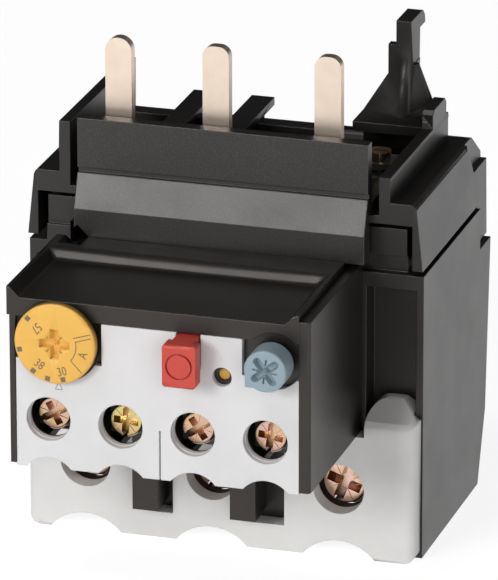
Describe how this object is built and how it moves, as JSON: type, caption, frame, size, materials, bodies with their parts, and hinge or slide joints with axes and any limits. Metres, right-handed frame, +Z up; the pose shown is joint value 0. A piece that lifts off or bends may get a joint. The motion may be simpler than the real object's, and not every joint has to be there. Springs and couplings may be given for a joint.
{
  "type": "thermal overload relay",
  "caption": "Thermal overload relay with flat blades that plug into a contactor, a setting dial, stop and reset buttons, screw terminals and its bimetal trip mechanism.",
  "frame": {"origin": "under the middle of the overall box, on the surface that the relay stands on", "axes": "+X to the right seen from the front, +Y to the rear, +Z up towards the contactor"},
  "size_m": [0.06, 0.0688, 0.075],
  "materials": {
    "black_plastic": "satin",
    "charcoal_plastic": "satin",
    "grey_plastic": "matte",
    "light_plastic": "matte",
    "amber_plastic": "satin",
    "red_plastic": "satin",
    "blue_plastic": "satin",
    "inner_plastic": "matte",
    "tinned_copper": "satin",
    "bimetal": "satin",
    "heater_wire": "satin",
    "plated_steel": "satin",
    "clamp_steel": "satin",
    "spring_steel": "satin"
  },
  "bodies": {
    "housing": {"base_housing": "black_plastic", "upper_housing": "black_plastic", "contactor_hook": "black_plastic", "blade_carrier": "black_plastic", "control_block": "charcoal_plastic", "hood": "charcoal_plastic", "side_cover": "charcoal_plastic", "latch_foot_1": "charcoal_plastic", "latch_foot_2": "charcoal_plastic", "terminal_cover": "grey_plastic", "front_plate": "light_plastic", "contact_blade_1": "tinned_copper", "contact_blade_2": "tinned_copper", "contact_blade_3": "tinned_copper", "load_bar_1": "tinned_copper", "load_bar_2": "tinned_copper", "load_bar_3": "tinned_copper", "contact_rail_1": "tinned_copper", "contact_rail_2": "tinned_copper", "contact_rail_3": "tinned_copper", "contact_rail_4": "tinned_copper", "bimetal_strip_1": "bimetal", "bimetal_strip_2": "bimetal", "bimetal_strip_3": "bimetal", "heater_winding_1": "heater_wire", "heater_winding_2": "heater_wire", "heater_winding_3": "heater_wire", "calibration_strap": "clamp_steel", "stop_spring": "spring_steel", "reset_spring": "spring_steel", "snap_spring": "spring_steel"},
    "dial": {"setting_dial": "amber_plastic"},
    "cam_lever": {"adjusting_lever": "inner_plastic"},
    "stop": {"stop_button": "red_plastic"},
    "reset": {"reset_plunger": "blue_plastic"},
    "knob": {"reset_knob": "blue_plastic"},
    "indicator": {"trip_indicator": "amber_plastic"},
    "slide": {"trip_slide": "inner_plastic"},
    "lever": {"trip_lever": "inner_plastic"},
    "rocker": {"contact_rocker": "inner_plastic"},
    "calibration": {"calibration_screw": "plated_steel"},
    "main_screw_body_1": {"main_screw_1": "plated_steel"},
    "main_clamp_body_1": {"main_clamp_1": "clamp_steel"},
    "main_screw_body_2": {"main_screw_2": "plated_steel"},
    "main_clamp_body_2": {"main_clamp_2": "clamp_steel"},
    "main_screw_body_3": {"main_screw_3": "plated_steel"},
    "main_clamp_body_3": {"main_clamp_3": "clamp_steel"},
    "control_screw_body_1": {"control_screw_1": "plated_steel"},
    "control_clamp_body_1": {"control_clamp_1": "clamp_steel"},
    "control_screw_body_2": {"control_screw_2": "plated_steel"},
    "control_clamp_body_2": {"control_clamp_2": "clamp_steel"},
    "control_screw_body_3": {"control_screw_3": "plated_steel"},
    "control_clamp_body_3": {"control_clamp_3": "clamp_steel"},
    "control_screw_body_4": {"control_screw_4": "plated_steel"},
    "control_clamp_body_4": {"control_clamp_4": "clamp_steel"}
  },
  "joints": [
    {"name": "dial_turn", "type": "hinge", "parent": "housing", "child": "dial", "pos_m": [-0.0168, -0.02985, 0.0387], "axis": [0, -1, 0], "range_deg": [-25, 130]},
    {"name": "cam_lever_turn", "type": "hinge", "parent": "housing", "child": "cam_lever", "pos_m": [-0.0214, -0.01635, 0.038], "axis": [0, 0, 1], "range_deg": [-1, 4.2]},
    {"name": "stop_press", "type": "slide", "parent": "housing", "child": "stop", "axis": [0, 1, 0], "range_m": [0, 0.002], "stiffness_N_per_m": 300, "springref_m": -0.001, "deforming": ["stop_spring"]},
    {"name": "reset_press", "type": "slide", "parent": "housing", "child": "reset", "axis": [0, 1, 0], "range_m": [0, 0.0015], "stiffness_N_per_m": 300, "springref_m": -0.001, "deforming": ["reset_spring"]},
    {"name": "reset_turn", "type": "hinge", "parent": "reset", "child": "knob", "pos_m": [0.0154, -0.03185, 0.0389], "axis": [0, 1, 0], "range_deg": [0, 90]},
    {"name": "trip_travel", "type": "slide", "parent": "housing", "child": "slide", "axis": [1, 0, 0], "range_m": [0, 0.0016], "stiffness_N_per_m": 60, "springref_m": -0.001},
    {"name": "trip_lever_turn", "type": "hinge", "parent": "housing", "child": "lever", "pos_m": [-0.018, -0.00965, 0.0405], "axis": [0, -1, 0], "range_deg": [0, 5.2]},
    {"name": "rocker_turn", "type": "hinge", "parent": "housing", "child": "rocker", "pos_m": [-0.001, -0.00965, 0.038], "axis": [0, -1, 0], "range_deg": [0, 8.3], "deforming": ["snap_spring"]},
    {"name": "indicator_travel", "type": "slide", "parent": "housing", "child": "indicator", "axis": [0, -1, 0], "range_m": [0, 0.0012]},
    {"name": "calibration_turn", "type": "hinge", "parent": "housing", "child": "calibration", "pos_m": [0.019, 0.01215, 0.056], "axis": [0, 0, 1], "range_deg": [-180, 180]},
    {"name": "main_screw_1_turn", "type": "hinge", "parent": "housing", "child": "main_screw_body_1", "pos_m": [-0.02077, 0.00015, 0.01063], "axis": [0, 1, 0], "range_deg": [0, 1624]},
    {"name": "main_clamp_1_lift", "type": "slide", "parent": "housing", "child": "main_clamp_body_1", "axis": [0, -1, 0], "range_m": [0, 0.0036]},
    {"name": "main_screw_2_turn", "type": "hinge", "parent": "housing", "child": "main_screw_body_2", "pos_m": [-0.00134, 0.00015, 0.01063], "axis": [0, 1, 0], "range_deg": [0, 1624]},
    {"name": "main_clamp_2_lift", "type": "slide", "parent": "housing", "child": "main_clamp_body_2", "axis": [0, -1, 0], "range_m": [0, 0.0036]},
    {"name": "main_screw_3_turn", "type": "hinge", "parent": "housing", "child": "main_screw_body_3", "pos_m": [0.01809, 0.00015, 0.01063], "axis": [0, 1, 0], "range_deg": [0, 1624]},
    {"name": "main_clamp_3_lift", "type": "slide", "parent": "housing", "child": "main_clamp_body_3", "axis": [0, -1, 0], "range_m": [0, 0.0036]},
    {"name": "control_screw_1_turn", "type": "hinge", "parent": "housing", "child": "control_screw_body_1", "pos_m": [-0.01842, -0.02485, 0.0264], "axis": [0, 1, 0], "range_deg": [0, 1264]},
    {"name": "control_clamp_1_lift", "type": "slide", "parent": "housing", "child": "control_clamp_body_1", "axis": [0, -1, 0], "range_m": [0, 0.0021]},
    {"name": "control_screw_2_turn", "type": "hinge", "parent": "housing", "child": "control_screw_body_2", "pos_m": [-0.00757, -0.02485, 0.0264], "axis": [0, 1, 0], "range_deg": [0, 1264]},
    {"name": "control_clamp_2_lift", "type": "slide", "parent": "housing", "child": "control_clamp_body_2", "axis": [0, -1, 0], "range_m": [0, 0.0021]},
    {"name": "control_screw_3_turn", "type": "hinge", "parent": "housing", "child": "control_screw_body_3", "pos_m": [0.00328, -0.02485, 0.0264], "axis": [0, 1, 0], "range_deg": [0, 1264]},
    {"name": "control_clamp_3_lift", "type": "slide", "parent": "housing", "child": "control_clamp_body_3", "axis": [0, -1, 0], "range_m": [0, 0.0021]},
    {"name": "control_screw_4_turn", "type": "hinge", "parent": "housing", "child": "control_screw_body_4", "pos_m": [0.01413, -0.02485, 0.0264], "axis": [0, 1, 0], "range_deg": [0, 1264]},
    {"name": "control_clamp_4_lift", "type": "slide", "parent": "housing", "child": "control_clamp_body_4", "axis": [0, -1, 0], "range_m": [0, 0.0021]}
  ],
  "couplings": [
    {"joint": "cam_lever_turn", "follows": "dial_turn", "ratio": 0.03},
    {"joint": "trip_lever_turn", "follows": "trip_travel", "rad_per_m": 54.9},
    {"joint": "rocker_turn", "follows": "trip_travel", "rad_per_m": 87.8},
    {"joint": "indicator_travel", "follows": "trip_travel", "ratio": 0.7},
    {"joint": "main_screw_1_turn", "follows": "main_clamp_1_lift", "rad_per_m": 7854},
    {"joint": "main_screw_2_turn", "follows": "main_clamp_2_lift", "rad_per_m": 7854},
    {"joint": "main_screw_3_turn", "follows": "main_clamp_3_lift", "rad_per_m": 7854},
    {"joint": "control_screw_1_turn", "follows": "control_clamp_1_lift", "rad_per_m": 10472},
    {"joint": "control_screw_2_turn", "follows": "control_clamp_2_lift", "rad_per_m": 10472},
    {"joint": "control_screw_3_turn", "follows": "control_clamp_3_lift", "rad_per_m": 10472},
    {"joint": "control_screw_4_turn", "follows": "control_clamp_4_lift", "rad_per_m": 10472}
  ]
}
